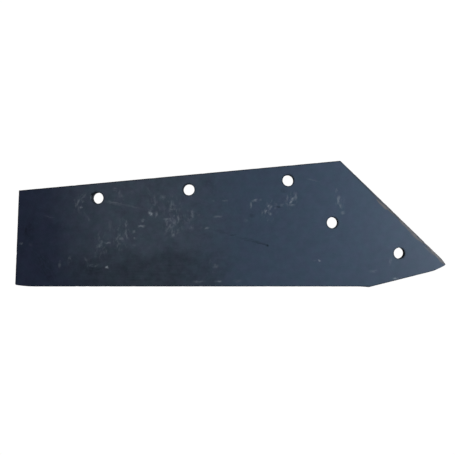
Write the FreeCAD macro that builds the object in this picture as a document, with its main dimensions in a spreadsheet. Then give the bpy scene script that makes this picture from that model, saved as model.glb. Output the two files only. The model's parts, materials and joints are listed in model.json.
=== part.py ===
"""Plough share: a forged and punched steel blade with five countersunk bolt holes.

The share lies on its soil face. X runs along the cutting edge towards the nose, Y runs up to the
crest, and Z runs from the soil face to the frog face. The origin is the middle of the footprint, at
the height of the soil face. It is one piece of steel, so it is one PartDesign body. Its blank is
drawn once, and the bevels, the ground landside, the bolt holes and the nib slots are cut from it.
"""
import FreeCAD, Part
import math
import os

import Sketcher
from FreeCAD import Placement, Rotation, Vector

# The driving sizes, in millimetres and degrees.
SIZES = {
    # the blank
    "overall_length": 500.0,  # from the heel to the tip, along the cutting edge
    "overall_height": 147.0,  # from the nose corner up to the crest
    "thickness": 11.0,
    "edge_break": 0.4,  # the small flat that takes the sharpness off the blank's edges
    # the heel, the end away from the nose
    "heel_height": 111.7,  # from the cutting edge to the upper heel corner
    "heel_lean": 4.3,  # how far the upper heel corner stands in from the heel
    "heel_corner_radius": 1.7,
    "heel_lip_length": 22.5,  # the stretch of cutting edge that turns up at the heel
    "heel_lip_radius": 130.0,
    # the crest, where the upper edge meets the landside edge
    "crest_setback": 122.6,  # from the tip, to the middle of the crest's round
    "crest_radius": 1.5,
    # the nose
    "nose_length": 89.0,  # from the nose corner to the tip
    "nose_drop": 0.8,  # how far the nose corner reaches below the cutting edge
    "nose_drop_radius": 140.0,
    "nose_angle": 14.1,  # the nose edge against the cutting edge
    "nose_curve_radius": 59.0,  # the nose edge where it curves up to the tip
    "tip_lift": 3.1,  # how far that curve lifts the tip off the straight nose edge
    "tip_radius": 1.6,
    "tip_shoulder_radius": 22.0,  # the landside edge where it curves down to the tip
    "tip_shoulder_turn": 21.0,
    # the sharpening on the soil face, and the grinding of the landside edge on the frog face
    "bevel_width": 16.0,
    "lip_thickness": 2.5,  # what the bevel leaves at the cutting edge
    "ground_start": 45.0,  # from the crest, along the landside edge
    "ground_width": 2.4,  # across the frog face, at the tip end of the landside edge
    "ground_depth": 1.8,  # down the side, at the same place
    # bolt holes for M12 plough bolts with two nibs, countersunk from the soil face
    "hole_diameter": 13.0,
    "countersink_diameter": 23.0,
    "countersink_angle": 90.0,
    "nib_slot_length": 20.0,
    "nib_slot_width": 5.0,
    "nib_slot_depth": 4.5,
    # the row of three holes along the upper edge, measured from the upper heel corner
    "row_edge_distance": 17.3,
    "first_hole_distance": 90.5,
    "second_hole_pitch": 106.2,
    "third_hole_pitch": 115.9,
    # the two holes of the nose
    "inner_nose_hole_setback": 131.3,  # from the tip
    "inner_nose_hole_rise": 74.2,  # above the cutting edge
    "outer_nose_hole_setback": 53.6,
    "outer_nose_hole_rise": 38.7,
    # how far the cutting tools run past the blank
    "overrun": 10.0,
}

# Positions along a sketch's curve, as Sketcher numbers them.
START, END, CENTRE = 1, 2, 3
ORIGIN = (-1, 1)
FIRST_EXTERNAL = -3

HOLE_COUNT = 5

# How often the outline's starting values are worked out anew, where one depends on the next.
SETTLING_ROUNDS = 20

# Curves of the blank's outline in the order they are drawn, from the heel corner round to the heel.
(HEEL_CORNER, HEEL_LIP, CUTTING_EDGE, NOSE_DROP, NOSE_EDGE, NOSE_CURVE, TIP, TIP_SHOULDER,
 LANDSIDE_EDGE, CREST, UPPER_EDGE, HEEL_EDGE) = range(12)

# How far the cutting edge stands below the origin, as a formula of the sheet.
CUTTING_EDGE_DEPTH = "sizes.overall_height / 2 - sizes.nose_drop"


def fill_sheet(doc):
    """Put the driving sizes in the document's sheet, each in a cell with its own alias."""
    sheet = doc.addObject("Spreadsheet::Sheet", "sizes")
    for row, (name, value) in enumerate(SIZES.items(), start=1):
        sheet.set(f"A{row}", name)
        sheet.set(f"B{row}", str(value))
        sheet.setAlias(f"B{row}", name)
    doc.recompute()
    return sheet


def add_sketch(body, name, role):
    """Add an empty sketch to the body, on the origin plane that has this role."""
    plane = next(item for item in body.Origin.OriginFeatures if item.Role == role)
    sketch = body.newObject("Sketcher::SketchObject", name)
    sketch.AttachmentSupport = [(plane, "")]
    sketch.MapMode = "FlatFace"
    return sketch


def relate(sketch, kind, *places):
    """Add a constraint that has no size."""
    sketch.addConstraint(Sketcher.Constraint(kind, *places))


def measure(sketch, name, formula, kind, *places):
    """Add a dimension that follows a formula of the sheet's cells."""
    value = sketch.evalExpression(formula)
    if kind == "Angle":
        value = math.radians(value)
    index = sketch.addConstraint(Sketcher.Constraint(kind, *places, value))
    sketch.renameConstraint(index, name)
    sketch.setExpression("Constraints." + name, formula)


def heading(angle):
    """Return the unit vector at this angle, in radians, from X."""
    return Vector(math.cos(angle), math.sin(angle))


def arc(centre, radius, start, end):
    """Return an arc that runs anticlockwise between two angles in radians."""
    return Part.ArcOfCircle(Part.Circle(centre, Vector(0, 0, 1), radius), start, end)


def outline_curves(size):
    """Return the blank's outline as the solver finds it at the start, curve by curve."""
    half_length = size("overall_length") / 2
    half_height = size("overall_height") / 2
    edge = size("nose_drop") - half_height

    # heel: the corner's circle touches the lip's circle from inside
    lip_radius, corner_radius = size("heel_lip_radius"), size("heel_corner_radius")
    lip_centre = Vector(size("heel_lip_length") - half_length, edge + lip_radius)
    corner_x = corner_radius - half_length
    reach = lip_radius - corner_radius
    drop = math.sqrt(reach ** 2 - (corner_x - lip_centre.x) ** 2)
    corner_centre = Vector(corner_x, lip_centre.y - drop)
    meeting = math.atan2(corner_centre.y - lip_centre.y, corner_centre.x - lip_centre.x)
    heel_top = Vector(size("heel_lean") - half_length, edge + size("heel_height"))
    heel_normal = math.pi - math.atan2(heel_top.x + half_length, heel_top.y - corner_centre.y)

    # nose: a straight edge, then a curve that touches the tip's circle from outside
    nose_corner = Vector(half_length - size("nose_length"), -half_height)
    nose_turn = math.radians(size("nose_angle"))
    along, inward = heading(nose_turn), heading(nose_turn + math.pi / 2)
    tip_radius, curve_radius = size("tip_radius"), size("nose_curve_radius")
    tip_x = half_length - tip_radius
    off_edge = tip_radius + size("tip_lift")
    tip_along = (tip_x - nose_corner.x - off_edge * inward.x) / along.x
    tip_centre = nose_corner + along * tip_along + inward * off_edge
    back = math.sqrt((curve_radius - tip_radius) ** 2 - (curve_radius - off_edge) ** 2)
    curve_centre = nose_corner + along * (tip_along - back) + inward * curve_radius
    curve_start = nose_corner + along * (tip_along - back)
    tip_normal = math.atan2(tip_centre.y - curve_centre.y, tip_centre.x - curve_centre.x)

    # nose drop: the cutting edge leaves its line on an arc that ends at the nose corner
    drop_radius = size("nose_drop_radius")
    drop_run = math.sqrt(drop_radius ** 2 - (drop_radius - size("nose_drop")) ** 2)
    drop_start = Vector(nose_corner.x - drop_run, edge)

    # crest and landside: a line that touches the crest's circle and the tip shoulder's circle
    crest_radius, shoulder_radius = size("crest_radius"), size("tip_shoulder_radius")
    crest_centre = Vector(half_length - size("crest_setback"), half_height - crest_radius)
    shoulder_turn = math.radians(size("tip_shoulder_turn"))
    normal = math.atan2(crest_centre.x - tip_centre.x, tip_centre.y - crest_centre.y) + math.pi
    for _ in range(SETTLING_ROUNDS):
        shoulder_centre = tip_centre - heading(normal - shoulder_turn) * (shoulder_radius - tip_radius)
        run = crest_centre - shoulder_centre
        lean = math.asin((shoulder_radius - crest_radius) / run.Length)
        normal = math.atan2(run.y, run.x) - math.pi / 2 + lean
    upper = crest_centre - heel_top
    upper_normal = math.atan2(upper.y, upper.x) + math.pi / 2 + math.asin(crest_radius / upper.Length)

    return [
        arc(corner_centre, corner_radius, heel_normal, meeting + 2 * math.pi),
        arc(lip_centre, lip_radius, meeting, -math.pi / 2),
        Part.LineSegment(Vector(lip_centre.x, edge), drop_start),
        arc(Vector(drop_start.x, edge - drop_radius), drop_radius,
            math.pi / 2 - math.asin(drop_run / drop_radius), math.pi / 2),
        Part.LineSegment(nose_corner, curve_start),
        arc(curve_centre, curve_radius, nose_turn - math.pi / 2, tip_normal),
        arc(tip_centre, tip_radius, tip_normal, normal - shoulder_turn),
        arc(shoulder_centre, shoulder_radius, normal - shoulder_turn, normal),
        Part.LineSegment(shoulder_centre + heading(normal) * shoulder_radius,
                         crest_centre + heading(normal) * crest_radius),
        arc(crest_centre, crest_radius, normal, upper_normal),
        Part.LineSegment(crest_centre + heading(upper_normal) * crest_radius, heel_top),
        Part.LineSegment(heel_top, corner_centre + heading(heel_normal) * corner_radius),
    ]


def draw_outline(body, size):
    """Draw the blank's outline, seen from the frog face, and tie it to the sheet."""
    sketch = add_sketch(body, "outline", "XY_Plane")
    sketch.addGeometry(outline_curves(size), False)

    # neighbours that run smoothly into each other, then the three plain corners
    relate(sketch, "Tangent", HEEL_CORNER, END, HEEL_LIP, START)
    relate(sketch, "Tangent", HEEL_LIP, END, CUTTING_EDGE, START)
    relate(sketch, "Tangent", CUTTING_EDGE, END, NOSE_DROP, END)
    relate(sketch, "Tangent", NOSE_EDGE, END, NOSE_CURVE, START)
    relate(sketch, "Tangent", NOSE_CURVE, END, TIP, START)
    relate(sketch, "Tangent", TIP, END, TIP_SHOULDER, START)
    relate(sketch, "Tangent", TIP_SHOULDER, END, LANDSIDE_EDGE, START)
    relate(sketch, "Tangent", LANDSIDE_EDGE, END, CREST, START)
    relate(sketch, "Tangent", CREST, END, UPPER_EDGE, START)
    relate(sketch, "Tangent", HEEL_EDGE, END, HEEL_CORNER, START)
    relate(sketch, "Coincident", NOSE_DROP, START, NOSE_EDGE, START)
    relate(sketch, "Coincident", UPPER_EDGE, END, HEEL_EDGE, START)
    relate(sketch, "Horizontal", CUTTING_EDGE)

    for curve, name in (
        (HEEL_CORNER, "heel_corner_radius"),
        (HEEL_LIP, "heel_lip_radius"),
        (NOSE_DROP, "nose_drop_radius"),
        (NOSE_CURVE, "nose_curve_radius"),
        (TIP, "tip_radius"),
        (TIP_SHOULDER, "tip_shoulder_radius"),
        (CREST, "crest_radius"),
    ):
        measure(sketch, name, "sizes." + name, "Radius", curve)

    # the two ends, the top and the bottom of the blank are set out evenly about the origin
    half_length, half_height = "sizes.overall_length / 2", "sizes.overall_height / 2"
    measure(sketch, "heel_reach", half_length + " - sizes.heel_corner_radius",
            "DistanceX", HEEL_CORNER, CENTRE, *ORIGIN)
    measure(sketch, "tip_reach", half_length + " - sizes.tip_radius",
            "DistanceX", *ORIGIN, TIP, CENTRE)
    measure(sketch, "crest_reach", half_height + " - sizes.crest_radius",
            "DistanceY", *ORIGIN, CREST, CENTRE)
    measure(sketch, "nose_corner_depth", half_height, "DistanceY", NOSE_EDGE, START, *ORIGIN)

    measure(sketch, "cutting_edge_depth", CUTTING_EDGE_DEPTH,
            "DistanceY", CUTTING_EDGE, START, *ORIGIN)
    measure(sketch, "heel_lip_length", "sizes.heel_lip_length - sizes.heel_corner_radius",
            "DistanceX", HEEL_CORNER, CENTRE, HEEL_LIP, END)
    measure(sketch, "heel_lean", "sizes.heel_lean - sizes.heel_corner_radius",
            "DistanceX", HEEL_CORNER, CENTRE, UPPER_EDGE, END)
    measure(sketch, "heel_height", "sizes.heel_height",
            "DistanceY", CUTTING_EDGE, START, UPPER_EDGE, END)
    measure(sketch, "crest_setback", "sizes.crest_setback - sizes.tip_radius",
            "DistanceX", CREST, CENTRE, TIP, CENTRE)
    measure(sketch, "nose_length", "sizes.nose_length - sizes.tip_radius",
            "DistanceX", NOSE_EDGE, START, TIP, CENTRE)
    measure(sketch, "nose_angle", "sizes.nose_angle", "Angle", NOSE_EDGE)
    measure(sketch, "tip_lift", "sizes.tip_radius + sizes.tip_lift",
            "Distance", TIP, CENTRE, NOSE_EDGE)
    measure(sketch, "tip_shoulder_turn", "sizes.tip_shoulder_turn", "Angle", TIP_SHOULDER)
    return sketch


def stand_across(body, name, x, y, turn):
    """Add an empty upright sketch across a line of the share.

    x and y are formulas for a point of the line, and turn is the formula for its angle. The
    sketch's own X points to the left of the line, and its Y points up.
    """
    sketch = add_sketch(body, name, "YZ_Plane")
    # a turn of nothing would lose the axis that the formula turns the sketch about
    any_angle = 1
    sketch.AttachmentOffset = Placement(Vector(), Rotation(Vector(0, 1, 0), any_angle))
    sketch.setExpression("AttachmentOffset.Base.x", y)
    sketch.setExpression("AttachmentOffset.Base.z", x)
    sketch.setExpression("AttachmentOffset.Rotation.Angle", turn)
    return sketch


def draw_loop(sketch, corners):
    """Draw straight sides from corner to corner and back to the first, and name them by number."""
    ends = corners[1:] + corners[:1]
    sides = [
        sketch.addGeometry(Part.LineSegment(corner, end), False)
        for corner, end in zip(corners, ends)
    ]
    for side, following in zip(sides, sides[1:] + sides[:1]):
        relate(sketch, "Coincident", side, END, following, START)
    return sides


def cut_along(body, name, profile):
    """Cut the profile's shape out of the steel, right through to both sides."""
    cut = body.newObject("PartDesign::Pocket", name)
    cut.Profile = profile
    cut.SideType = "Symmetric"
    cut.Type = "ThroughAll"
    body.Document.recompute()


def cut_bevel(body, name, x, y, turn):
    """Sharpen one edge: cut away the wedge of steel under it, from the soil face.

    x and y are formulas for a point of the edge, and turn is the formula for its angle.
    """
    profile = stand_across(body, name + "_profile", x, y, turn)
    rise = "sizes.thickness - sizes.lip_thickness"
    width = profile.evalExpression("sizes.bevel_width")
    height = profile.evalExpression(rise)
    margin = profile.evalExpression("sizes.overrun")
    flat, back, slope = draw_loop(profile, [
        Vector(width, 0),
        Vector(-margin, 0),
        Vector(-margin, height * (1 + margin / width)),
    ])
    lip = profile.addGeometry(Part.Point(Vector(0, height)), True)
    relate(profile, "Vertical", back)
    relate(profile, "Horizontal", flat)
    relate(profile, "PointOnObject", flat, START, -1)
    relate(profile, "PointOnObject", lip, START, -2)
    relate(profile, "PointOnObject", lip, START, slope)
    measure(profile, "width", "sizes.bevel_width", "DistanceX", *ORIGIN, flat, START)
    measure(profile, "rise", rise, "DistanceY", *ORIGIN, lip, START)
    measure(profile, "overrun", "sizes.overrun", "DistanceX", flat, END, *ORIGIN)
    cut_along(body, name, profile)


def draw_ground_line(body, outline, size):
    """Draw the inner side of the ground flat: it leaves the landside edge on its way to the tip."""
    sketch = add_sketch(body, "ground_line", "XY_Plane")
    sketch.addExternal(outline.Name, f"Edge{LANDSIDE_EDGE + 1}")
    landside = FIRST_EXTERNAL
    edge = outline.Geometry[LANDSIDE_EDGE]
    crest_end, tip_end = edge.EndPoint, edge.StartPoint
    run = (tip_end - crest_end).normalize()
    begin = crest_end + run * size("ground_start")
    finish = tip_end + Vector(run.y, -run.x) * size("ground_width")
    line = sketch.addGeometry(Part.LineSegment(begin, finish), False)
    width = sketch.addGeometry(Part.LineSegment(tip_end, finish), True)
    relate(sketch, "PointOnObject", line, START, landside)
    relate(sketch, "Coincident", width, START, landside, START)
    relate(sketch, "Coincident", width, END, line, END)
    relate(sketch, "Perpendicular", width, landside)
    measure(sketch, "start", "sizes.ground_start", "Distance", landside, END, line, START)
    measure(sketch, "width", "sizes.ground_width", "Distance", width)

    # these only report where the line lies, for the sketch that stands across it
    for name, kind, value, places in (
        ("x", "DistanceX", begin.x, (*ORIGIN, line, START)),
        ("y", "DistanceY", begin.y, (*ORIGIN, line, START)),
        ("turn", "Angle", math.atan2(finish.y - begin.y, finish.x - begin.x), (line,)),
    ):
        index = sketch.addConstraint(Sketcher.Constraint(kind, *places, value))
        sketch.setDriving(index, False)
        sketch.renameConstraint(index, name)
    body.Document.recompute()


def grind_landside(body, outline, size):
    """Grind a flat on the landside edge of the frog face, from nothing to its width at the tip."""
    draw_ground_line(body, outline, size)
    at = "ground_line.Constraints."
    profile = stand_across(body, "ground_profile", at + "x", at + "y", at + "turn")
    top, margin = size("thickness"), size("overrun")
    flat, back, slope = draw_loop(profile, [
        Vector(0, top),
        Vector(margin, top),
        Vector(margin, top - margin * size("ground_depth") / size("ground_width")),
    ])
    foot = profile.addGeometry(
        Part.Point(Vector(size("ground_width"), top - size("ground_depth"))), True)
    relate(profile, "Horizontal", flat)
    relate(profile, "Vertical", back)
    relate(profile, "PointOnObject", flat, START, -2)
    relate(profile, "PointOnObject", foot, START, slope)
    measure(profile, "top", "sizes.thickness", "DistanceY", *ORIGIN, flat, START)
    measure(profile, "overrun", "sizes.overrun", "DistanceX", *ORIGIN, flat, END)
    measure(profile, "width", "sizes.ground_width", "DistanceX", *ORIGIN, foot, START)
    measure(profile, "depth", "sizes.ground_depth", "DistanceY", foot, START, flat, START)
    cut_along(body, "ground_landside", profile)


def set_out_holes(body, outline, size):
    """Draw the five bolt holes: a row along the upper edge, and two in the nose."""
    centres = add_sketch(body, "bolt_circles", "XY_Plane")
    centres.addExternal(outline.Name, f"Edge{UPPER_EDGE + 1}")
    upper_edge = FIRST_EXTERNAL

    edge = outline.Geometry[UPPER_EDGE]
    heel_top = edge.EndPoint
    run = (edge.StartPoint - heel_top).normalize()
    row_start = heel_top + Vector(run.y, -run.x) * size("row_edge_distance")
    first = row_start + run * size("first_hole_distance")
    second = first + run * size("second_hole_pitch")
    third = second + run * size("third_hole_pitch")
    edge_height = size("nose_drop") - size("overall_height") / 2
    half_length = size("overall_length") / 2
    nose_holes = [
        Vector(half_length - size(f"{name}_nose_hole_setback"),
               edge_height + size(f"{name}_nose_hole_rise"))
        for name in ("inner", "outer")
    ]
    radius = size("hole_diameter") / 2
    circles = [
        centres.addGeometry(Part.Circle(point, Vector(0, 0, 1), radius), False)
        for point in (first, second, third, *nose_holes)
    ]
    drop = centres.addGeometry(Part.LineSegment(heel_top, row_start), True)
    row = centres.addGeometry(Part.LineSegment(row_start, third), True)

    relate(centres, "Coincident", drop, START, upper_edge, END)
    relate(centres, "Perpendicular", drop, upper_edge)
    relate(centres, "Coincident", row, START, drop, END)
    relate(centres, "Parallel", row, upper_edge)
    relate(centres, "Coincident", circles[2], CENTRE, row, END)
    relate(centres, "PointOnObject", circles[0], CENTRE, row)
    relate(centres, "PointOnObject", circles[1], CENTRE, row)
    measure(centres, "hole_diameter", "sizes.hole_diameter", "Diameter", circles[0])
    for other in circles[1:]:
        relate(centres, "Equal", circles[0], other)
    measure(centres, "row_edge_distance", "sizes.row_edge_distance", "Distance", drop)
    measure(centres, "first_hole_distance", "sizes.first_hole_distance",
            "Distance", row, START, circles[0], CENTRE)
    measure(centres, "second_hole_pitch", "sizes.second_hole_pitch",
            "Distance", circles[0], CENTRE, circles[1], CENTRE)
    measure(centres, "third_hole_pitch", "sizes.third_hole_pitch",
            "Distance", circles[1], CENTRE, circles[2], CENTRE)
    for circle, name in zip(circles[3:], ("inner_nose_hole", "outer_nose_hole")):
        measure(centres, name + "_x", f"sizes.overall_length / 2 - sizes.{name}_setback",
                "DistanceX", *ORIGIN, circle, CENTRE)
        measure(centres, name + "_y", f"sizes.{name}_rise - ({CUTTING_EDGE_DEPTH})",
                "DistanceY", *ORIGIN, circle, CENTRE)
    return centres


def drill_holes(body, centres):
    """Drill and countersink the bolt holes from the soil face."""
    holes = body.newObject("PartDesign::Hole", "bolt_holes")
    holes.Profile = centres
    body.Document.recompute()
    holes.Reversed = True
    holes.ThreadType = "None"
    holes.DepthType = "ThroughAll"
    holes.HoleCutType = "Countersink"
    holes.HoleCutCustomValues = True
    holes.setExpression("Diameter", "sizes.hole_diameter")
    holes.setExpression("HoleCutDiameter", "sizes.countersink_diameter")
    holes.setExpression("HoleCutCountersinkAngle", "sizes.countersink_angle")
    body.Document.recompute()


def cut_nib_slots(body, centres, size):
    """Cut a slot across each countersink for the two nibs that keep the bolt from turning."""
    slots = add_sketch(body, "nib_slot_profile", "XY_Plane")
    right = Vector(size("nib_slot_length") / 2, 0)
    up = Vector(0, size("nib_slot_width") / 2)
    for number, circle in enumerate(centres.Geometry[:HOLE_COUNT]):
        slots.addExternal(centres.Name, f"Edge{number + 1}")
        middle = circle.Center
        bottom, right_end, top, left_end = draw_loop(slots, [
            middle - right - up,
            middle + right - up,
            middle + right + up,
            middle - right + up,
        ])
        for side in (bottom, top):
            relate(slots, "Horizontal", side)
        for side in (left_end, right_end):
            relate(slots, "Vertical", side)
        relate(slots, "Symmetric", bottom, START, top, START, FIRST_EXTERNAL - number, CENTRE)
        measure(slots, f"length_{number}", "sizes.nib_slot_length", "Distance", bottom)
        measure(slots, f"width_{number}", "sizes.nib_slot_width", "Distance", right_end)

    pocket = body.newObject("PartDesign::Pocket", "nib_slots")
    pocket.Profile = slots
    pocket.Reversed = True
    pocket.setExpression("Length", "sizes.nib_slot_depth")
    body.Document.recompute()


def break_edges(body, blank, size):
    """Take the sharpness off every edge of the blank's two faces."""
    flat_edges = [
        f"Edge{number}"
        for number, edge in enumerate(blank.Shape.Edges, start=1)
        if edge.BoundBox.ZLength < size("thickness") / 2
    ]
    broken = body.newObject("PartDesign::Chamfer", "broken_edges")
    broken.Base = (blank, flat_edges)
    broken.setExpression("Size", "sizes.edge_break")
    body.Document.recompute()


def make_share(doc, size):
    """Model the share: the blank first, and then each cut in the order of its making."""
    body = doc.addObject("PartDesign::Body", "plough_share")
    body.Label = "plough_share"
    outline = draw_outline(body, size)
    blank = body.newObject("PartDesign::Pad", "blank")
    blank.Profile = outline
    blank.setExpression("Length", "sizes.thickness")
    doc.recompute()
    break_edges(body, blank, size)
    cut_bevel(body, "cutting_bevel", "0", f"-({CUTTING_EDGE_DEPTH})", "0")
    cut_bevel(body, "nose_bevel", "sizes.overall_length / 2 - sizes.nose_length",
              "-sizes.overall_height / 2", "sizes.nose_angle")
    grind_landside(body, outline, size)
    centres = set_out_holes(body, outline, size)
    drill_holes(body, centres)
    cut_nib_slots(body, centres, size)
    return body


def check(doc, bodies):
    """Stop if anything failed, a sketch is loose, a cut missed, or a body is not one solid."""
    for item in doc.Objects:
        if "Invalid" in item.State or "Error" in item.State:
            raise RuntimeError(f"{item.Name} failed: {item.State}")
        if item.isDerivedFrom("Sketcher::SketchObject") and not item.FullyConstrained:
            raise RuntimeError(f"{item.Name} is not fully constrained")
    for body in bodies:
        stages = [item for item in body.Group if item.isDerivedFrom("PartDesign::Feature")]
        for before, after in zip(stages, stages[1:]):
            if after.Shape.Volume >= before.Shape.Volume:
                raise RuntimeError(f"{after.Name} took no steel away")
        shape = body.Shape
        if shape.isNull() or not shape.isValid() or len(shape.Solids) != 1:
            raise RuntimeError(f"{body.Label} is not one sound solid")


def main():
    """Build the document and write each body to its own file."""
    doc = FreeCAD.newDocument("plough_share_model")
    sheet = fill_sheet(doc)
    bodies = [make_share(doc, sheet.get)]
    check(doc, bodies)
    os.makedirs("parts", exist_ok=True)
    for body in bodies:
        body.Shape.exportStep(f"parts/{body.Label}.step")


main()
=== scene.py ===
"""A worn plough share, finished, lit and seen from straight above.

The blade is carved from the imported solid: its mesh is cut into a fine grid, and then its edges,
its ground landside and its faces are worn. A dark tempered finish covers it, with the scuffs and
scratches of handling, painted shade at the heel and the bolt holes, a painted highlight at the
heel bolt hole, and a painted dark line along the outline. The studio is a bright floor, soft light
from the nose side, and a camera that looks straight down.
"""

import json
import logging
import math
from dataclasses import dataclass, field
from enum import Enum

import bmesh
import bpy
from mathutils import Euler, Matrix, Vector, noise


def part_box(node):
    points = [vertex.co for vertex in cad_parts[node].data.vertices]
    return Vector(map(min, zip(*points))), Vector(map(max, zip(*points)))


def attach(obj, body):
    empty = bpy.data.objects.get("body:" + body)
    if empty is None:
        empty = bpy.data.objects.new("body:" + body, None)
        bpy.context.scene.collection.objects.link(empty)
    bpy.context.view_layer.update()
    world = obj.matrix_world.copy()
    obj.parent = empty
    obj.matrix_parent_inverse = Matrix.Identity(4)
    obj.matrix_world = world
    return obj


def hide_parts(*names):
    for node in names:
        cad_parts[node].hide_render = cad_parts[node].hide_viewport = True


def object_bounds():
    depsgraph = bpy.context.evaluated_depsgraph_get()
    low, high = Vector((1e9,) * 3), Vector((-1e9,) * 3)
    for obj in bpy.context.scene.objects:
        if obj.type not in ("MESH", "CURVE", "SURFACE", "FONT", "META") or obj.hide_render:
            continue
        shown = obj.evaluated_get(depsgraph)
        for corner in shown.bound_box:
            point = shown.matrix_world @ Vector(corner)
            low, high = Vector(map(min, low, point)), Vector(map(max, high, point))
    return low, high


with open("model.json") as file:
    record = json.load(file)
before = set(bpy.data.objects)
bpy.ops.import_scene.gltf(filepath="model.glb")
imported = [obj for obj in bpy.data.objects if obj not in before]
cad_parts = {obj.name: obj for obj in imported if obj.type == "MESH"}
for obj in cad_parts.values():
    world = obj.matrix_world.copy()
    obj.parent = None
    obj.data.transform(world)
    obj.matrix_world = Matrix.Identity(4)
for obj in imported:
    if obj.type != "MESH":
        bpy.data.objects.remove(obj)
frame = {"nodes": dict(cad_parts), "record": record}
cad_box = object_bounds()

MM = 0.001
NOSEWARD = Vector((1, 0, 0))
UPWARD = Vector((0, 1, 0))
SKYWARD = Vector((0, 0, 1))
WHITE = (1, 1, 1, 1)
BLADE = "plough_share"

log = logging.getLogger("plough_share")

Socket = bpy.types.NodeSocket


@dataclass(frozen=True)
class Clouds:
    """A cloudy noise."""

    size: float  # how far apart its clouds stand, in millimetres
    detail: float  # how many finer layers it has
    rough: float = 0.55  # how strong those layers are


@dataclass(frozen=True)
class Fade:
    """A stretch over which something comes in, in millimetres."""

    start: float  # where nothing of it shows yet
    whole: float  # where it shows in full


@dataclass(frozen=True)
class Weave:
    """How scuffs of one kind run, and how their flecks lie."""

    turn: float  # the way they run, in degrees from X
    draw: float  # how many times longer than wide they are
    fleck: float  # how far apart the flecks stand across it, in millimetres
    bald: float  # the share of the fleck noise that is left whole


class Grain(Enum):
    """The kinds of scuff."""

    ROUND = Weave(0.0, 1.25, 2.4, 0.36)
    LEVEL = Weave(3.0, 3.2, 2.0, 0.38)
    UPRIGHT = Weave(85.0, 2.5, 2.4, 0.38)
    RISING = Weave(46.0, 2.6, 2.2, 0.38)
    FALLING = Weave(-62.0, 2.6, 2.2, 0.38)
    TRAILING = Weave(-12.0, 8.0, 1.8, 0.34)
    BROKEN = Weave(82.0, 1.5, 3.4, 0.5)


@dataclass(frozen=True)
class Scuff:
    """One rubbed place on the frog face, as an oval with soft ends. Sizes are in millimetres."""

    x: float
    y: float
    length: float
    strength: float
    grain: Grain = Grain.ROUND


@dataclass(frozen=True)
class RimLine:
    """A straight side of the blade: the outward normal, and how far out along it the side lies."""

    normal: Vector
    reach: float


@dataclass(frozen=True)
class Outline:
    """Where the sides and the bolt holes of the blade lie."""

    rims: list[RimLine]
    landside: RimLine
    crest: Vector  # the end of the landside away from the tip
    bores: list[Vector]
    bore_radius: float


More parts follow.
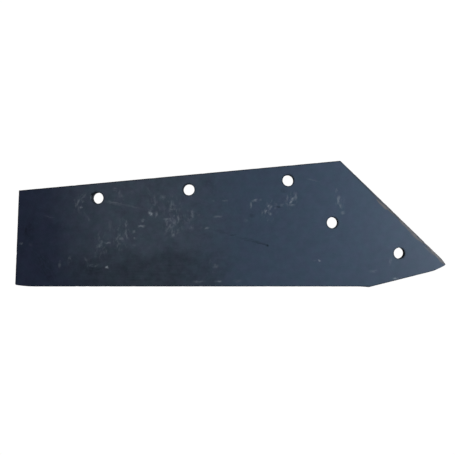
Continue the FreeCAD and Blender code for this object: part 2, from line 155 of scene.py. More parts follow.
PALE_SCUFFS_AND_HIGHLIGHT = (
    # wide places where the flecks stand apart
    Scuff(-175, 25, 28, 0.6, Grain.BROKEN),
    Scuff(-129, 34, 28, 0.38, Grain.BROKEN),
    Scuff(-88, 24, 34, 0.34, Grain.BROKEN),
    Scuff(-126, -12, 42, 0.75, Grain.BROKEN),
    Scuff(-150, -26, 36, 0.55, Grain.BROKEN),
    Scuff(-166, -46, 18, 0.26, Grain.BROKEN),
    Scuff(-65, 6, 56, 0.62, Grain.BROKEN),
    Scuff(-46, 4, 30, 0.34, Grain.BROKEN),
    Scuff(-70, 30, 20, 0.3, Grain.BROKEN),
    Scuff(45, 16, 30, 0.75, Grain.BROKEN),
    Scuff(70, 28, 26, 0.62, Grain.BROKEN),
    Scuff(-22, -50, 24, 0.26, Grain.BROKEN),
    Scuff(127, 26, 26, 0.2, Grain.BROKEN),
    # a pale crescent on the heel bolt hole's rim, worn and partly a painted highlight where its
    # edge catches light, the arc beside it, and the trail below it
    Scuff(-161.8, 31, 7, 1.5, Grain.UPRIGHT),
    Scuff(-178.5, 25.5, 14, 0.66, Grain.UPRIGHT),
    Scuff(-176, 18, 9, 0.35, Grain.UPRIGHT),
    Scuff(-171.5, 32, 14, 0.62, Grain.RISING),
    Scuff(-173, 19, 4, 0.8),
    Scuff(-169, 12, 9, 0.25, Grain.FALLING),
    Scuff(-164, 5, 10, 0.3, Grain.FALLING),
    Scuff(-134, 24, 34, 0.5, Grain.TRAILING),
    Scuff(-112, 20, 26, 0.26, Grain.TRAILING),
    Scuff(-134, 40, 7, 0.35),
    Scuff(-127, 33, 9, 0.24),
    Scuff(-115, 37, 7, 0.16),
    Scuff(-95, 38, 14, 0.2, Grain.FALLING),
    # the heavy marks between the first two bolt holes
    Scuff(-92.5, 12.5, 10, 1.2, Grain.FALLING),
    Scuff(-92.5, 12.5, 7.5, 1.4),
    Scuff(-86, 11, 10, 0.75, Grain.UPRIGHT),
    Scuff(-88, 30, 11, 0.36, Grain.UPRIGHT),
    Scuff(-101.5, 4, 6, 0.66),
    Scuff(-103, -2.5, 11, 1.2, Grain.LEVEL),
    Scuff(-121, 0, 11, 0.6, Grain.UPRIGHT),
    Scuff(-122, -11, 14, 0.75, Grain.UPRIGHT),
    Scuff(-126, -17, 9, 0.7),
    Scuff(-130, -25, 12, 0.4, Grain.UPRIGHT),
    Scuff(-112, -9, 6, 0.7),
    Scuff(-110, -16, 5, 0.8),
    Scuff(-112, -25, 5, 0.4),
    Scuff(-140, -2, 16, 0.24, Grain.UPRIGHT),
    Scuff(-152.5, -14, 11, 0.46, Grain.UPRIGHT),
    Scuff(-152, -24, 14, 0.5, Grain.RISING),
    Scuff(-156, -34, 11, 0.2, Grain.UPRIGHT),
    Scuff(-143, -22, 10, 0.9, Grain.LEVEL),
    # the heel end of the cutting edge
    Scuff(-187, -42, 13, 0.6, Grain.UPRIGHT),
    Scuff(-198, -47, 11, 0.42, Grain.UPRIGHT),
    Scuff(-167, -43, 12, 0.26, Grain.FALLING),
    Scuff(-159, -48, 12, 0.8, Grain.LEVEL),
    Scuff(-143, -50.5, 6, 2.4),
    Scuff(-243.5, -22.5, 4.4, 1.1),
    Scuff(-210, 8, 16, 0.16, Grain.TRAILING),
    Scuff(-232, -24, 7, 0.14),
    # the cloud below the middle bolt hole
    Scuff(-68, 21, 15, 0.72, Grain.UPRIGHT),
    Scuff(-74, 6, 10, 0.62, Grain.LEVEL),
    Scuff(-66, 3, 16, 0.36, Grain.FALLING),
    Scuff(-60, 6, 11, 0.7, Grain.UPRIGHT),
    Scuff(-70, -4, 16, 0.5, Grain.RISING),
    Scuff(-67, -10, 14, 0.6, Grain.UPRIGHT),
    Scuff(-78, 31, 9, 0.42),
    Scuff(-57, -4, 6, 0.35),
    Scuff(-51, 1, 7, 0.16),
    Scuff(-44, 12, 11, 0.95, Grain.UPRIGHT),
    Scuff(-44, -3, 10, 0.5, Grain.UPRIGHT),
    Scuff(-36, 10, 4.5, 0.6),
    Scuff(-30, -4.5, 14, 1.0, Grain.LEVEL),
    Scuff(-14, 8.5, 13, 0.46, Grain.LEVEL),
    Scuff(-6, 27, 9, 0.34, Grain.LEVEL),
    Scuff(-20, 27, 4, 0.2),
    # the marks below the bolt hole near the crest
    Scuff(30, 27.5, 13, 1.0, Grain.LEVEL),
    Scuff(24, 22, 10, 0.8, Grain.UPRIGHT),
    Scuff(43.5, 17, 15, 0.95, Grain.RISING),
    Scuff(37, 12, 8, 0.4, Grain.UPRIGHT),
    Scuff(53, 23, 6, 0.26),
    Scuff(60, 22, 6, 0.36),
    Scuff(71, 27, 13, 1.15, Grain.RISING),
    Scuff(66, 30, 9, 0.5, Grain.UPRIGHT),
    Scuff(76.5, 32, 11, 0.6, Grain.UPRIGHT),
    Scuff(70, 22, 13, 0.75, Grain.LEVEL),
    Scuff(18, 4, 6, 0.16),
    # the trail above the inner nose hole, and the odd marks of the nose
    Scuff(123, 39, 8, 0.34, Grain.UPRIGHT),
    Scuff(125.5, 28, 13, 0.8, Grain.UPRIGHT),
    Scuff(128, 20, 9, 0.6, Grain.FALLING),
    Scuff(130.5, 13, 6, 0.5),
    Scuff(96, 51, 18, 0.22, Grain.TRAILING),
    Scuff(103.5, -42.5, 3.6, 1.8),
    Scuff(98, -42.5, 7, 0.2, Grain.LEVEL),
    Scuff(186, -43, 11, 0.34, Grain.UPRIGHT),
    Scuff(166, -55, 14, 0.3, Grain.LEVEL),
    Scuff(192, -63.5, 10, 1.3, Grain.LEVEL),
    # rubs along the cutting edge
    Scuff(-14, -66.5, 10, 0.8, Grain.LEVEL),
    Scuff(-37, -67, 16, 0.42, Grain.LEVEL),
    Scuff(8, -66, 14, 0.2, Grain.LEVEL),
    Scuff(-17, -49, 8, 0.4),
)

DARK_RUBS_AND_SHADE = (
    # painted shade at the heel bolt hole's upper rim, where the bore's shaded wall shows
    Scuff(-158.8, 35.2, 11, 1.6, Grain.RISING),
    Scuff(-10, -9, 34, 0.16, Grain.TRAILING),
    Scuff(4, -13, 12, 0.5, Grain.LEVEL),
    Scuff(24, -19, 36, 0.34, Grain.TRAILING),
    Scuff(36, -23, 22, 0.45, Grain.TRAILING),
    Scuff(43, -25, 5, 0.85),
    # painted shade: large soft dark patches that deepen the heel's painted shadow
    Scuff(-235, -7, 20, 0.4),
    Scuff(-236, -9, 44, 0.3, Grain.UPRIGHT),
    Scuff(-216, -50, 60, 0.4, Grain.FALLING),
    Scuff(-160, -54, 40, 0.4, Grain.LEVEL),
    Scuff(-25, 47, 22, 0.2),
    Scuff(56, 19.5, 10, 0.6, Grain.LEVEL),
    Scuff(25, 10, 10, 0.3),
    Scuff(62, 39, 9, 0.3),
)


class NodeBench:
    """Adds nodes to one material's tree and joins them up."""

    def __init__(self, tree: bpy.types.NodeTree) -> None:
        """Start from an empty tree.

        Args:
            tree: the node tree of a material or a world.
        """
        self.tree = tree
        tree.nodes.clear()

    def add(self, kind: str, settings: dict | None = None, **inputs: object) -> bpy.types.Node:
        """Add a node.

        Args:
            kind: Blender's name for the node's type.
            settings: values of the node's own options.
            **inputs: sockets or plain values for its inputs. A name like "i0" is a socket's place.

        Returns:
            The new node.
        """
        node = self.tree.nodes.new(kind)
        for name, value in (settings or {}).items():
            setattr(node, name, value)
        for name, value in inputs.items():
            by_place = name[0] == "i" and name[1:].isdigit()
            self.feed(node.inputs[int(name[1:]) if by_place else name.replace("_", " ")], value)
        return node

    def feed(self, socket: Socket, value: object) -> None:
        """Link a socket to another one, or set it to a plain value.

        Args:
            socket: the input to feed.
            value: the socket or the plain value that it gets.
        """
        if isinstance(value, Socket):
            self.tree.links.new(value, socket)
        else:
            socket.default_value = value

    def math(self, operation: str, *values: object, clamp: bool = False) -> Socket:
        """Work out a sum.

        Args:
            operation: what the Math node does.
            *values: sockets or plain numbers.
            clamp: whether the result is kept between 0 and 1.

        Returns:
            The result's socket.
        """
        settings = {"operation": operation, "use_clamp": clamp}
        inputs = {f"i{place}": value for place, value in enumerate(values)}
        return self.add("ShaderNodeMath", settings, **inputs).outputs[0]

    def vector(self, operation: str, *values: object) -> bpy.types.Node:
        """Return a Vector Math node."""
        inputs = {f"i{place}": value for place, value in enumerate(values)}
        return self.add("ShaderNodeVectorMath", {"operation": operation}, **inputs)

    def along(self, place: Socket, direction: Vector) -> Socket:
        """Return how far along a direction a place lies."""
        return self.vector("DOT_PRODUCT", place, direction).outputs["Value"]

    def away(self, place: Socket, middle: Vector) -> Socket:
        """Return how far from a point a place lies."""
        return self.vector("DISTANCE", place, middle).outputs["Value"]

    def spread(self, value: Socket, low: float, high: float, to_low: object = 0.0,
               to_high: float = 1.0) -> Socket:
        """Ease a value from one range into another.

        Args:
            value: the socket to read.
            low: what becomes to_low.
            high: what becomes to_high.
            to_low: the result at and beyond low.
            to_high: the result at and beyond high.

        Returns:
            The eased value's socket.
        """
        node = self.add("ShaderNodeMapRange", {"interpolation_type": "SMOOTHSTEP"},
                        i0=value, i1=low, i2=high, i3=to_low, i4=to_high)
        return node.outputs[0]

    def fade(self, value: Socket, fade: Fade, to_low: float = 0.0, to_high: float = 1.0) -> Socket:
        """Ease a distance, in metres, over a fade."""
        return self.spread(value, fade.start * MM, fade.whole * MM, to_low, to_high)

    def clouds(self, place: Socket, clouds: Clouds) -> bpy.types.Node:
        """Return a Noise Texture node."""
        return self.add("ShaderNodeTexNoise", None, Vector=place, Scale=1 / (clouds.size * MM),
                        Detail=clouds.detail, Roughness=clouds.rough)

    def noise(self, place: Socket, clouds: Clouds) -> Socket:
        """Return cloudy noise, around a half."""
        return self.clouds(place, clouds).outputs["Fac"]

    def shaken(self, place: Socket, clouds: Clouds, reach: float) -> Socket:
        """Push coordinates about in the XY plane.

        Args:
            place: the coordinates to change.
            clouds: the noise that pushes them.
            reach: how far apart the two furthest pushes are, in metres.

        Returns:
            The new coordinates.
        """
        push = self.clouds(place, clouds).outputs["Color"]
        centred = self.vector("MULTIPLY_ADD", push, (reach, reach, 0),
                              (-reach / 2, -reach / 2, 0)).outputs[0]
        return self.vector("ADD", place, centred).outputs[0]

    def stretched(self, place: Socket, turn: float, draw: float) -> Socket:
        """Draw a pattern out along a direction of the XY plane.

        Args:
            place: the coordinates to change.
            turn: the direction, in degrees from X.
            draw: how many times longer than wide the pattern becomes.

        Returns:
            The new coordinates.
        """
        node = self.add("ShaderNodeMapping", {"vector_type": "TEXTURE"}, Vector=place,
                        Rotation=(0, 0, math.radians(turn)), Scale=(draw, 1, 1))
        return node.outputs[0]

    def blend(self, factor: object, first: object, second: object, mode: str = "MIX") -> Socket:
        """Return a mix of two colours."""
        return self.add("ShaderNodeMix", {"data_type": "RGBA", "blend_type": mode},
                        i0=factor, i6=first, i7=second).outputs[2]


@dataclass(frozen=True)
class SteelTone:
    """The colour of the oil-blued steel before it was handled, with painted shade at the heel.
    Colours are linear.
    """

    nose: tuple = (0.039, 0.0575, 0.088, 1)
    tip: tuple = (0.036, 0.048, 0.069, 1)
    heel: tuple = (0.048, 0.062, 0.083, 1)
    heel_shadow: tuple = (0.0205, 0.026, 0.047, 1)
    violet: tuple = (1.04, 0.98, 1.02, 1)
    teal: tuple = (0.965, 1.02, 1.0, 1)
    nose_fade: Fade = Fade(-90, 40)
    tip_fade: Fade = Fade(120, 240)
    shadow_fade: Fade = Fade(-132, -236)
    shadow_slant: Vector = field(default_factory=lambda: Vector((1, 0.2, 0)))
    drift: Clouds = Clouds(38, 2.0, 0.5)
    drift_reach: float = 60 * MM
    low_fade: Fade = Fade(-14, -46)  # the darker band low on the heel half, from above
    low_nose_fade: Fade = Fade(30, -70)  # its end towards the nose
    low_heel_fade: Fade = Fade(-215, -140)  # its end at the heel
    low_shade: float = 0.33
    streaks: float = 0.05
    low_streaks: float = 0.2
    blotches: Clouds = Clouds(9, 4.0, 0.68)
    blotch_fade: Fade = Fade(20, -60)
    nose_blotches: float = 0.45
    heel_blotches: float = 0.75
    tints: Clouds = Clouds(11, 1.0)
    tint_range: tuple = (0.35, 0.65)

    def paint(self, bench: NodeBench, place: Socket, lines: Socket) -> Socket:
        """Make the colour: bluer at the nose, darker at the heel with painted shade, and darker
        low down.

        Args:
            bench: the material's node bench.
            place: the coordinates.
            lines: the noise of the rolling lines.

        Returns:
            The colour.
        """
        adrift = bench.shaken(place, self.drift, self.drift_reach)
        noseward = bench.along(adrift, NOSEWARD)
        upward = bench.along(adrift, UPWARD)
        slanting = bench.along(adrift, self.shadow_slant)
        tone = bench.blend(bench.fade(noseward, self.nose_fade), self.heel, self.nose)
        tone = bench.blend(bench.fade(noseward, self.tip_fade), tone, self.tip)
        # painted shade: the heel is darkened towards heel_shadow along a slanting fade
        tone = bench.blend(bench.fade(slanting, self.shadow_fade), tone, self.heel_shadow)

        # light and dark: the low band, the rolling lines and the blotches
        low_band = bench.math("MULTIPLY", bench.fade(upward, self.low_fade),
                              bench.fade(noseward, self.low_nose_fade))
        low_band = bench.math("MULTIPLY", low_band, bench.fade(noseward, self.low_heel_fade))
        streaky = bench.math("MULTIPLY_ADD", low_band, self.low_streaks, self.streaks)
        shade = bench.math("MULTIPLY_ADD", bench.math("SUBTRACT", lines, 0.5), streaky, 1.0)
        blotches = bench.math("SUBTRACT", bench.noise(place, self.blotches), 0.5)
        blotchy = bench.fade(noseward, self.blotch_fade, self.nose_blotches, self.heel_blotches)
        shade = bench.math("MULTIPLY_ADD", blotches, blotchy, shade)
        shade = bench.math("MULTIPLY_ADD", low_band, -self.low_shade, shade)

        tint = bench.spread(bench.noise(place, self.tints), *self.tint_range)
        tint = bench.blend(tint, self.violet, self.teal)
        tone = bench.blend(1.0, tone, tint, "MULTIPLY")
        return bench.add("ShaderNodeVectorMath", {"operation": "SCALE"}, i0=tone,
                         Scale=shade).outputs[0]


@dataclass(frozen=True)
class HandlingMarks:
    """The pale scuffs and dark marks that handling left, with some painted shade among the dark
    ones. Colours are linear.
    """

    scuff: tuple = (0.27, 0.30, 0.335, 1)
    # the colour of the dark marks and of the painted shade
    rub_and_shade: tuple = (0.008, 0.010, 0.015, 1)
    scuff_cover: float = 0.29
    rub_and_shade_cover: float = 0.75
    shake: Clouds = Clouds(3.2, 2.0, 0.5)
    shake_reach: float = 4 * MM
    oval: tuple = (1.15, 0.1)  # where an oval fades out and where it is full, in half-widths
    fleck_detail: float = 3.0
    fleck_rough: float = 0.6
    fleck_softness: float = 0.2
    fleck_strength: float = 1.35
    face_height: float = cad_box[1].z

    def oval_cover(self, bench: NodeBench, shaken: Socket, scuffs: list[Scuff],
                   weave: Weave) -> Socket | float:
        """Lay the ovals of one kind over one another.

        Args:
            bench: the material's node bench.
            shaken: coordinates that are slightly shaken.
            scuffs: the scuffs, all of one kind.
            weave: how that kind runs.

        Returns:
            How strongly the ovals cover each place, 0 outside them.
        """
        drawn_out = bench.stretched(shaken, weave.turn, weave.draw)
        turn_back = Euler((0, 0, -math.radians(weave.turn)))
        cover = 0.0
        for scuff in scuffs:
            middle = Vector((scuff.x * MM, scuff.y * MM, self.face_height))
            middle.rotate(turn_back)
            middle.x /= weave.draw
            half_width = scuff.length / weave.draw / 2 * MM
            outer, inner = (share * half_width for share in self.oval)
            cover = bench.spread(bench.away(drawn_out, middle), outer, inner, cover,
                                 scuff.strength)
        return cover

    def mask(self, bench: NodeBench, place: Socket, shaken: Socket, scuffs: tuple) -> Socket:
        """Work out where some scuffs show, each broken into flecks along its grain.

        Args:
            bench: the material's node bench.
            place: the coordinates that the flecks follow.
            shaken: the same coordinates, slightly shaken, for the ovals' outlines.
            scuffs: the scuffs.

        Returns:
            The mask, 0 where the finish is whole.
        """
        total = 0.0
        for grain in Grain:
            weave = grain.value
            kin = [scuff for scuff in scuffs if scuff.grain is grain]
            if not kin:
                continue
            cover = self.oval_cover(bench, shaken, kin, weave)
            clouds = Clouds(weave.fleck, self.fleck_detail, self.fleck_rough)
            flecks = bench.noise(bench.stretched(place, weave.turn, weave.draw), clouds)
            flecks = bench.spread(flecks, weave.bald, weave.bald + self.fleck_softness, 0.0,
                                  self.fleck_strength)
            total = bench.math("ADD", total, bench.math("MULTIPLY", cover, flecks))
        return total

    def paint(self, bench: NodeBench, place: Socket, tone: Socket) -> tuple[Socket, Socket]:
        """Put the marks on the steel, with the painted shade among the dark ones.

        Args:
            bench: the material's node bench.
            place: the coordinates.
            tone: the steel's colour.

        Returns:
            The marked colour, and where the scuffs are.
        """
        shaken = bench.shaken(place, self.shake, self.shake_reach)
        # dark marks, and painted shade at the heel and at the heel bolt hole's rim
        rubs_and_shade = self.mask(bench, place, shaken, DARK_RUBS_AND_SHADE)
        rubs_and_shade = bench.math("MULTIPLY", rubs_and_shade, self.rub_and_shade_cover, clamp=True)
        tone = bench.blend(rubs_and_shade, tone, self.rub_and_shade)
        # pale scuffs, with a painted highlight on the heel bolt hole's rim
        scuffs = self.mask(bench, place, shaken, PALE_SCUFFS_AND_HIGHLIGHT)
        scuffs = bench.math("MULTIPLY", scuffs, self.scuff_cover, clamp=True)
        return bench.blend(scuffs, tone, self.scuff), scuffs


@dataclass(frozen=True)
class EdgeWear:
    """The edges: a painted dark line along the outline with painted shade in and around the bolt
    holes, brown and bare along the landside.
    """

    # painted: a dark line along the outline, and shade in and around the bolt holes
    edge_line_and_bore_shade: tuple = (0.010, 0.011, 0.014, 1)
    edge_line_and_bore_shade_cover: float = 0.7
    edge_line_and_bore_shade_fade: Fade = Fade(1.9, 0.3)  # from the outline inwards
    dark: tuple = (0.028, 0.031, 0.034, 1)
    dark_cover: float = 0.7
    dark_fade: Fade = Fade(8, 30)  # from the crest towards the tip
    brown: tuple = (0.076, 0.071, 0.068, 1)
    brown_share: tuple = (0.38, 0.56)
    bare: tuple = (0.13, 0.12, 0.117, 1)
    bare_cover: float = 0.75
    bare_share: tuple = (0.44, 0.58)
    bare_fade: Fade = Fade(0.5, 1.6)  # from the landside inwards
    ground_fade: Fade = Fade(48, 66)  # from the crest towards the tip
    turn: float = -44.0  # the way the landside runs, in degrees from X
    draw: float = 4.0
    ragged: Clouds = Clouds(2.6, 3.0, 0.6)
    broad: Clouds = Clouds(6.5, 2.0, 0.5)
    broad_range: tuple = (0.35, 0.65)
    narrowest: float = 1.8 * MM
    widest: float = 4.8 * MM
    soft_edge: tuple = (1.15, 0.75)  # where the band fades out and where it is full, in widths

    def depth(self, bench: NodeBench, place: Socket, outline: Outline) -> Socket:
        """Work out how far inside the nearest side or bolt hole a place lies.

        Args:
            bench: the material's node bench.
            place: the coordinates.
            outline: the blade's sides and bolt holes.

        Returns:
            The distance, in metres.
        """
        nearest = 1.0
        for rim in outline.rims:
            inward = bench.math("SUBTRACT", rim.reach, bench.along(place, rim.normal))
            nearest = bench.math("MINIMUM", nearest, inward)
        flat = bench.vector("MULTIPLY", place, (1, 1, 0)).outputs[0]
        for bore in outline.bores:
            away = bench.away(flat, Vector((bore.x, bore.y, 0)))
            inward = bench.math("SUBTRACT", away, outline.bore_radius)
            nearest = bench.math("MINIMUM", nearest, inward)
        return nearest

    def paint(self, bench: NodeBench, place: Socket, tone: Socket,
              outline: Outline) -> tuple[Socket, Socket]:
        """Darken the outline with a painted dark line and the bolt holes with painted shade, and
        wear the landside's ground flat brown and bare.

        Args:
            bench: the material's node bench.
            place: the coordinates.
            tone: the colour so far.
            outline: the blade's sides and bolt holes.

        Returns:
            The new colour, and where the steel was ground.
        """
        # painted dark line along the outline, and painted shade on and around the bolt holes'
        # walls
        rim = bench.fade(self.depth(bench, place, outline), self.edge_line_and_bore_shade_fade)
        tone = bench.blend(bench.math("MULTIPLY", rim, self.edge_line_and_bore_shade_cover), tone, self.edge_line_and_bore_shade)

        landside = outline.landside
        across = bench.math("SUBTRACT", landside.reach, bench.along(place, landside.normal))
        along = bench.away(place, outline.crest)
        drawn_out = bench.stretched(place, self.turn, self.draw)
        ragged = bench.noise(drawn_out, self.ragged)
        broad = bench.noise(drawn_out, self.broad)
        width = bench.spread(broad, *self.broad_range, self.narrowest, self.widest)
        band = bench.spread(bench.math("DIVIDE", across, width), *self.soft_edge)

        darkened = bench.math("MULTIPLY", band, bench.fade(along, self.dark_fade))
        tone = bench.blend(bench.math("MULTIPLY", darkened, self.dark_cover), tone, self.dark)
        ground = bench.math("MULTIPLY", band, bench.fade(along, self.ground_fade))
        browned = bench.math("MULTIPLY", ground, bench.spread(ragged, *self.brown_share))
        tone = bench.blend(browned, tone, self.brown)
        bared = bench.math("MULTIPLY", ground, bench.spread(broad, *self.bare_share))
        bared = bench.math("MULTIPLY", bared, bench.fade(across, self.bare_fade))
        return bench.blend(bench.math("MULTIPLY", bared, self.bare_cover), tone, self.bare), ground


@dataclass(frozen=True)
class TemperedFinish:
    """The dark tempered finish of the whole blade, with its wear, painted shade, a painted
    highlight, gloss and relief.
    """

    steel: SteelTone = field(default_factory=SteelTone)
    handling: HandlingMarks = field(default_factory=HandlingMarks)
    edges: EdgeWear = field(default_factory=EdgeWear)
    rolling: Clouds = Clouds(1.6, 3.0)
    rolling_draw: float = 30.0
    scale: Clouds = Clouds(2.2, 3.0, 0.7)
    scale_range: tuple = (0.2, 0.8)
    roughness: float = 0.46
    roughness_swing: float = 0.05
    scuffed_roughness: float = 0.62
    scuff_dulling: float = 2.0
    gloss: float = 0.35
    gloss_tint: tuple = (0.45, 0.68, 1.0, 1)
    rolling_relief: float = 0.35
    scale_relief: float = 0.5
    relief_strength: float = 0.25
    relief_depth: float = 0.12 * MM

    def material(self, name: str, outline: Outline) -> bpy.types.Material:
        """Make the finish's material.

        Args:
            name: the material's name.
            outline: the blade's sides and bolt holes.

        Returns:
            The material.
        """
        material = bpy.data.materials.new(name)
        material.use_nodes = True
        bench = NodeBench(material.node_tree)
        place = bench.add("ShaderNodeTexCoord").outputs["Object"]
        lines = bench.noise(bench.stretched(place, 0.0, self.rolling_draw), self.rolling)
        scale = bench.noise(place, self.scale)

        tone = self.steel.paint(bench, place, lines)
        tone, scuffs = self.handling.paint(bench, place, tone)
        tone, ground = self.edges.paint(bench, place, tone, outline)

        rough = bench.spread(scale, *self.scale_range, self.roughness - self.roughness_swing,
                             self.roughness + self.roughness_swing)
        dulled = bench.math("MULTIPLY", scuffs, self.scuff_dulling, clamp=True)
        rough = bench.add("ShaderNodeMix", {"data_type": "FLOAT"}, i2=rough,
                          i0=bench.math("MAXIMUM", dulled, ground),
                          i3=self.scuffed_roughness).outputs[0]
        relief = bench.math("ADD", bench.math("MULTIPLY", lines, self.rolling_relief),
                            bench.math("MULTIPLY", scale, self.scale_relief))
        bump = bench.add("ShaderNodeBump", None, Strength=self.relief_strength,
                         Distance=self.relief_depth, Height=relief)

        surface = bench.add("ShaderNodeBsdfPrincipled", None, Base_Color=tone, Roughness=rough,
                            Normal=bump.outputs[0])
        surface.inputs["Specular IOR Level"].default_value = self.gloss
        surface.inputs["Specular Tint"].default_value = self.gloss_tint
        bench.add("ShaderNodeOutputMaterial", None, Surface=surface.outputs[0])
        return material


@dataclass
class ShareBlade:
    """The worn blade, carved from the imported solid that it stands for."""

    weld: float = 0.001 * MM
    flat_angle: float = math.radians(0.1)
    upright: float = 0.01
    smallest_side: float = 100 * MM * MM
    same_side: float = 0.999
    crest_band: float = 1 * MM
    grid: float = 3.0 * MM
    rim_cuts: tuple = (0.8 * MM, 1.8 * MM)
    landside_cuts: tuple = (0.6 * MM, 1.2 * MM, 1.8 * MM, 2.4 * MM, 3.0 * MM, 3.8 * MM)
    cut_slack: float = 0.05 * MM
    crisp_angle: float = math.radians(22)
    hollow: float = 0.12 * MM
    hollow_size: float = 60 * MM
    edge_wear: float = 0.08 * MM
    edge_wear_size: float = 9 * MM
    nick: float = 0.5 * MM
    nick_size: float = 4 * MM
    nick_shift: Vector = field(default_factory=lambda: Vector((7, 3, 1)))
    nick_threshold: float = 0.25
    bore_ring: float = 4 * MM
    bore_share: float = 0.5
    landside_band: float = 1 * MM
    landside_wear: float = 0.25 * MM
    landside_wear_size: float = 6 * MM
    finish: TemperedFinish = field(default_factory=TemperedFinish)

    def __post_init__(self) -> None:
        """Read the bolt holes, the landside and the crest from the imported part."""
        mounts = {mount["name"]: mount for mount in frame["record"]["mounts"]}
        bores = [mount for mount in mounts.values() if mount["kind"] == "bore"]
        self.bores = [Vector(mount["pos_m"]) for mount in bores]
        self.bore_radius = bores[0]["dims"]["r_mm"] * MM
        side = mounts["landside_edge"]
        normal = Vector(side["axis"])
        self.landside = RimLine(normal, normal.dot(Vector(side["pos_m"])))
        self.low, self.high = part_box(BLADE)
        corners = [vertex.co for vertex in frame["nodes"][BLADE].data.vertices]
        crest = max(corner.x for corner in corners if corner.y > self.high.y - self.crest_band)
        self.crest = Vector((crest, self.high.y, 0))

    def build(self) -> bpy.types.Object:
        """Carve, wear and dress the blade.

        Returns:
            The finished piece.
        """
        shape = bmesh.new()
        shape.from_mesh(frame["nodes"][BLADE].data)
        bmesh.ops.remove_doubles(shape, verts=shape.verts, dist=self.weld)
        bmesh.ops.dissolve_limit(shape, angle_limit=self.flat_angle, verts=shape.verts,
                                 edges=shape.edges)
        rims = self.find_rims(shape)
        self.cut_grid(shape, rims)
        self.mark_crisp_edges(shape)
        self.wear(shape)

        mesh = bpy.data.meshes.new("share_blade")
        shape.to_mesh(mesh)
        shape.free()
        piece = bpy.data.objects.new("share_blade", mesh)
        bpy.context.scene.collection.objects.link(piece)
        self.dress(piece, rims)
        return piece

    def find_rims(self, shape: bmesh.types.BMesh) -> list[RimLine]:
        """Find the upright sides of the blade that are long and flat.

        Args:
            shape: the blade's mesh, before it is cut.

        Returns:
            The sides.
        """
        return [
            RimLine(face.normal.copy(), face.normal.dot(face.verts[0].co))
            for face in shape.faces
            if abs(face.normal.z) < self.upright and face.calc_area() > self.smallest_side
        ]

    def cut_grid(self, shape: bmesh.types.BMesh, rims: list[RimLine]) -> None:
        """Cut the mesh into a fine grid, with extra lines beside every long side.

        Args:
            shape: the blade's mesh.
            rims: its long sides.
        """
        cuts = []
        for axis in (NOSEWARD, UPWARD):
            start = self.low.dot(axis)
            end = self.high.dot(axis)
            steps = round((end - start) / self.grid)
            cuts += [RimLine(axis, start + (end - start) * step / steps)
                     for step in range(1, steps)]
        for rim in rims:
            on_landside = rim.normal.dot(self.landside.normal) > self.same_side
            inward = self.landside_cuts if on_landside else self.rim_cuts
            cuts += [RimLine(rim.normal, rim.reach - step) for step in inward]
        for cut in cuts:
            bmesh.ops.bisect_plane(
                shape, geom=shape.verts[:] + shape.edges[:] + shape.faces[:],
                dist=self.cut_slack, plane_co=cut.normal * cut.reach, plane_no=cut.normal)

    def mark_crisp_edges(self, shape: bmesh.types.BMesh) -> None:
        """Shade the mesh smooth, apart from the edges between flat faces.

        Args:
            shape: the blade's mesh.
        """
        for face in shape.faces:
            face.smooth = True
        for edge in shape.edges:
            edge.smooth = edge.calc_face_angle(0.0) < self.crisp_angle

    def waves(self, place: Vector, size: float) -> float:
        """Return a slow noise, from 0 to 1."""
        return 0.5 + 0.5 * noise.noise(place / size)

    def wear(self, shape: bmesh.types.BMesh) -> None:
        """Round, nick and hollow the surface. Nothing moves outwards.

        Args:
            shape: the blade's mesh.
        """
        shape.normal_update()
        for vertex in shape.verts:
            place = vertex.co.copy()
            normal = vertex.normal.copy()
            pits = noise.noise(place / self.nick_size + self.nick_shift) - self.nick_threshold
            depth = self.edge_wear * self.waves(place, self.edge_wear_size)
            depth += self.nick * max(0.0, pits)
            from_bore = min((place - bore).xy.length for bore in self.bores) - self.bore_radius
            from_landside = self.landside.reach - place.dot(self.landside.normal)
            if from_bore < self.bore_ring:
                depth *= self.bore_share
            elif from_landside < self.landside_band:
                depth += self.landside_wear * self.waves(place, self.landside_wear_size)
            sunk = normal.z * self.waves(place, self.hollow_size) * self.hollow
            vertex.co = place - Vector((normal.x, normal.y, 0)) * depth - Vector((0, 0, sunk))

    def dress(self, piece: bpy.types.Object, rims: list[RimLine]) -> None:
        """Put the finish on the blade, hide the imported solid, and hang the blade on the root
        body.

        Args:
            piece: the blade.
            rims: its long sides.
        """
        outline = Outline(rims, self.landside, self.crest, self.bores, self.bore_radius)
        piece.data.materials.append(self.finish.material("tempered_steel", outline))
        weighted = piece.modifiers.new("even_normals", "WEIGHTED_NORMAL")
        weighted.keep_sharp = True
        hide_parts(BLADE)
        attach(piece, "root")


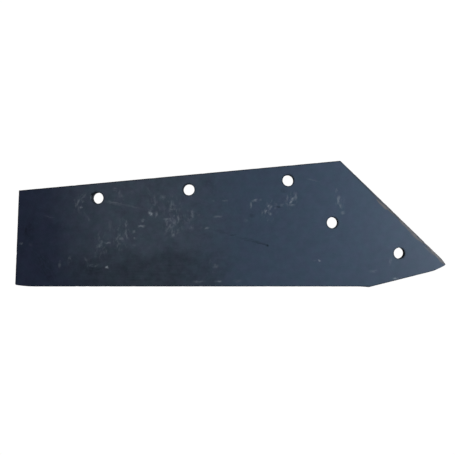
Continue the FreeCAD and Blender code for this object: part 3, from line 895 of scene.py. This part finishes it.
@dataclass
class Studio:
    """A bright floor, soft light and a camera that looks straight down."""

    camera_height: float = 0.461
    view_width: float = 0.5282
    view_middle: tuple = (-0.0033, -0.0041)
    floor_half: float = 3.0
    floor_drop: float = -0.2 * MM
    floor_glow: float = 1.02
    floor_spill: float = 0.05
    sky: tuple = (0.55, 0.62, 0.72, 1)
    walls_glow: float = 0.6
    ceiling_glow: float = 0.04
    walls_top: float = 0.35  # how steeply up the walls begin to give way to the ceiling
    ceiling_rim: float = 0.8  # how steeply up the ceiling is reached
    key_place: tuple = (1.25, 0.12, 0.86)
    key_aim: tuple = (0.05, 0, 0)
    key_size: float = 0.7
    key_power: float = 30.0
    key_colour: tuple = (1.0, 0.985, 0.97)

    def build(self) -> None:
        """Set up the whole studio."""
        self.lay_floor()
        self.hang_light()
        self.tint_room()
        self.place_camera()

    def lay_floor(self) -> None:
        """Lay the floor just under the blade. It glows for the camera and spills little light."""
        corners = [(side * self.floor_half, end * self.floor_half, self.floor_drop)
                   for side, end in ((-1, -1), (1, -1), (1, 1), (-1, 1))]
        mesh = bpy.data.meshes.new("floor")
        mesh.from_pydata(corners, [], [(0, 1, 2, 3)])
        floor = bpy.data.objects.new("floor", mesh)
        bpy.context.scene.collection.objects.link(floor)

        material = bpy.data.materials.new("pale_floor")
        material.use_nodes = True
        bench = NodeBench(material.node_tree)
        seen = bench.add("ShaderNodeLightPath").outputs["Is Camera Ray"]
        glow = bench.spread(seen, 0.0, 1.0, self.floor_spill, self.floor_glow)
        bright = bench.add("ShaderNodeEmission", None, Color=WHITE, Strength=glow)
        bench.add("ShaderNodeOutputMaterial", None, Surface=bright.outputs[0])
        mesh.materials.append(material)

    def hang_light(self) -> None:
        """Hang the soft light on the nose side."""
        lamp = bpy.data.lights.new("nose_side_light", "AREA")
        lamp.shape = "SQUARE"
        lamp.size = self.key_size
        lamp.energy = self.key_power
        lamp.color = self.key_colour
        light = bpy.data.objects.new("nose_side_light", lamp)
        light.location = self.key_place
        aim = Vector(self.key_aim) - light.location
        light.rotation_euler = aim.to_track_quat("-Z", "Y").to_euler()
        bpy.context.scene.collection.objects.link(light)

    def tint_room(self) -> None:
        """Light the room blue from the walls, and show it white behind everything."""
        world = bpy.data.worlds.new("room")
        world.use_nodes = True
        bench = NodeBench(world.node_tree)
        way = bench.add("ShaderNodeTexCoord").outputs["Generated"]
        glow = bench.spread(bench.along(way, SKYWARD), self.walls_top, self.ceiling_rim,
                            self.walls_glow, self.ceiling_glow)
        room = bench.add("ShaderNodeBackground", None, Color=self.sky, Strength=glow)
        white = bench.add("ShaderNodeBackground", None, Color=WHITE, Strength=1.0)
        seen = bench.add("ShaderNodeLightPath").outputs["Is Camera Ray"]
        both = bench.add("ShaderNodeMixShader", None, i0=seen, i1=room.outputs[0],
                         i2=white.outputs[0])
        bench.add("ShaderNodeOutputWorld", None, Surface=both.outputs[0])
        bpy.context.scene.world = world

    def place_camera(self) -> None:
        """Put the camera over the blade, with a view as wide as asked at the blade's face."""
        data = bpy.data.cameras.new("camera")
        distance = self.camera_height - cad_box[1].z
        data.angle = 2 * math.atan(self.view_width / 2 / distance)
        camera = bpy.data.objects.new("camera", data)
        camera.location = (*self.view_middle, self.camera_height)
        bpy.context.scene.collection.objects.link(camera)
        bpy.context.scene.camera = camera


def main() -> None:
    """Build the blade and its studio, and say what was made."""
    logging.basicConfig(level=logging.INFO, format="%(name)s: %(message)s")
    bpy.context.scene.view_settings.view_transform = "Standard"
    blade = ShareBlade().build()
    log.info("%s has %d faces", blade.name, len(blade.data.polygons))
    Studio().build()
    log.info("the studio is set up")


if __name__ == "__main__":
    main()
